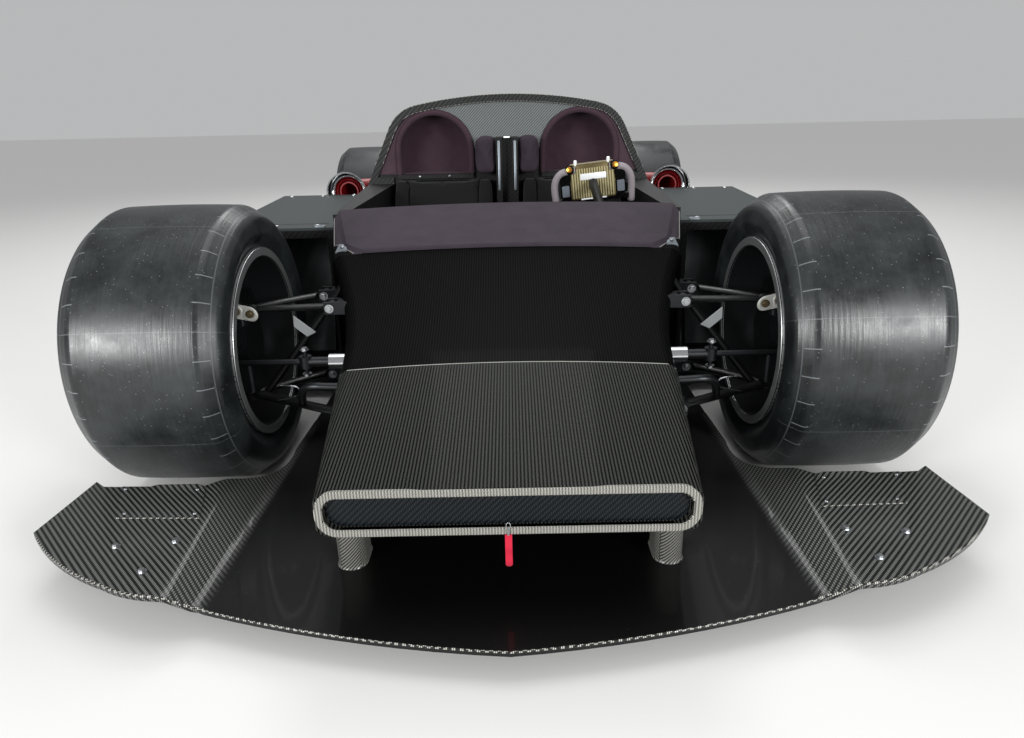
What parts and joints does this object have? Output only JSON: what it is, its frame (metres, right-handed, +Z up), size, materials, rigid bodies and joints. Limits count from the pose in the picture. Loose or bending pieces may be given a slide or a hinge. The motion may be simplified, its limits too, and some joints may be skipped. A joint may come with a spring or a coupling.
{
  "type": "open two-seat track car",
  "caption": "Open two-seat carbon-fibre track car without outer bodywork: splitter, nose box, tub, roll hoop, side pods, mid engine, slick tyres on turning wheels, working steering.",
  "frame": {"origin": "ground under the middle of the car's bounding box", "axes": "+Y towards the tail, nose towards -Y, +X towards the car's left side, +Z up"},
  "size_m": [2, 4.16, 0.9709],
  "materials": {
    "carbon": "gloss clear-coated woven carbon fibre",
    "carbon_satin": "satin woven carbon fibre",
    "red_webbing": "woven strap",
    "suede": "purple-grey suede",
    "seat_cloth": "black cloth over a shell",
    "steel": "brushed",
    "aluminium": "machined",
    "chrome": "polished",
    "grey_paint": "satin grey",
    "radiator_core": "finned core",
    "cast_alloy": "cast",
    "red_silicone": "moulded hose",
    "tyre_rubber": "slick tread",
    "rim_paint": "satin black",
    "cast_disc": "turned",
    "brass_anodise": "gold anodised housing"
  },
  "bodies": {
    "chassis": {"splitter": "carbon", "nose_box": "carbon", "nose_pylons": "carbon", "tow_strap": "red_webbing", "footwell": "carbon", "cowl_panel": "suede", "tub": "carbon", "roll_hoop": "carbon", "rear_bulkhead": "carbon", "head_pockets": "suede", "centre_spine": "carbon", "collar_pads": "suede", "seats": "seat_cloth", "steering_column": "steel", "suspension_arms": "carbon_satin", "clevises": "aluminium", "rack_housing": "chrome", "underfloor": "carbon_satin", "pod_ducts": "carbon_satin", "pod_tops": "grey_paint", "radiators": "radiator_core", "engine_block": "cast_alloy", "intake_plenum": "carbon", "bell_mouths": "chrome", "intake_hoses": "red_silicone", "gearbox": "cast_alloy", "tail_box": "carbon", "exhausts": "steel", "rear_uprights": "aluminium"},
    "wheel_front_left": {"tyre_front_left": "tyre_rubber", "rim_front_left": "rim_paint", "brake_disc_front_left": "cast_disc"},
    "corner_front_left": {"upright_front_left": "aluminium"},
    "wheel_front_right": {"tyre_front_right": "tyre_rubber", "rim_front_right": "rim_paint", "brake_disc_front_right": "cast_disc"},
    "corner_front_right": {"upright_front_right": "aluminium"},
    "wheel_rear_left": {"tyre_rear_left": "tyre_rubber", "rim_rear_left": "rim_paint", "driveshaft_rear_left": "steel"},
    "wheel_rear_right": {"tyre_rear_right": "tyre_rubber", "rim_rear_right": "rim_paint", "driveshaft_rear_right": "steel"},
    "rack": {"steering_rack": "chrome"},
    "hand_wheel": {"steering_wheel": "brass_anodise"}
  },
  "joints": [
    {"name": "steer_front_left", "type": "hinge", "parent": "chassis", "child": "corner_front_left", "pos_m": [0.69, -1.263, 0.35], "axis": [0, 0, 1], "range_deg": [-16, 16]},
    {"name": "spin_front_left", "type": "hinge", "parent": "corner_front_left", "child": "wheel_front_left", "pos_m": [0.795, -1.263, 0.35], "axis": [1, 0, 0], "continuous": true},
    {"name": "steer_front_right", "type": "hinge", "parent": "chassis", "child": "corner_front_right", "pos_m": [-0.69, -1.263, 0.35], "axis": [0, 0, 1], "range_deg": [-16, 16]},
    {"name": "spin_front_right", "type": "hinge", "parent": "corner_front_right", "child": "wheel_front_right", "pos_m": [-0.795, -1.263, 0.35], "axis": [1, 0, 0], "continuous": true},
    {"name": "spin_rear_left", "type": "hinge", "parent": "chassis", "child": "wheel_rear_left", "pos_m": [0.815, 1.437, 0.36], "axis": [1, 0, 0], "continuous": true},
    {"name": "spin_rear_right", "type": "hinge", "parent": "chassis", "child": "wheel_rear_right", "pos_m": [-0.815, 1.437, 0.36], "axis": [1, 0, 0], "continuous": true},
    {"name": "rack_slide", "type": "slide", "parent": "chassis", "child": "rack", "axis": [1, 0, 0], "range_m": [-0.03407, 0.03407]},
    {"name": "hand_wheel_turn", "type": "hinge", "parent": "chassis", "child": "hand_wheel", "pos_m": [0.306, -0.41412, 0.668], "axis": [0, 0.9701, 0.2425], "range_deg": [-120, 120]}
  ],
  "couplings": [
    {"joint": "steer_front_right", "follows": "steer_front_left", "ratio": 1},
    {"joint": "rack_slide", "follows": "steer_front_left", "m_per_rad": 0.122},
    {"joint": "hand_wheel_turn", "follows": "steer_front_left", "ratio": 7.5}
  ]
}
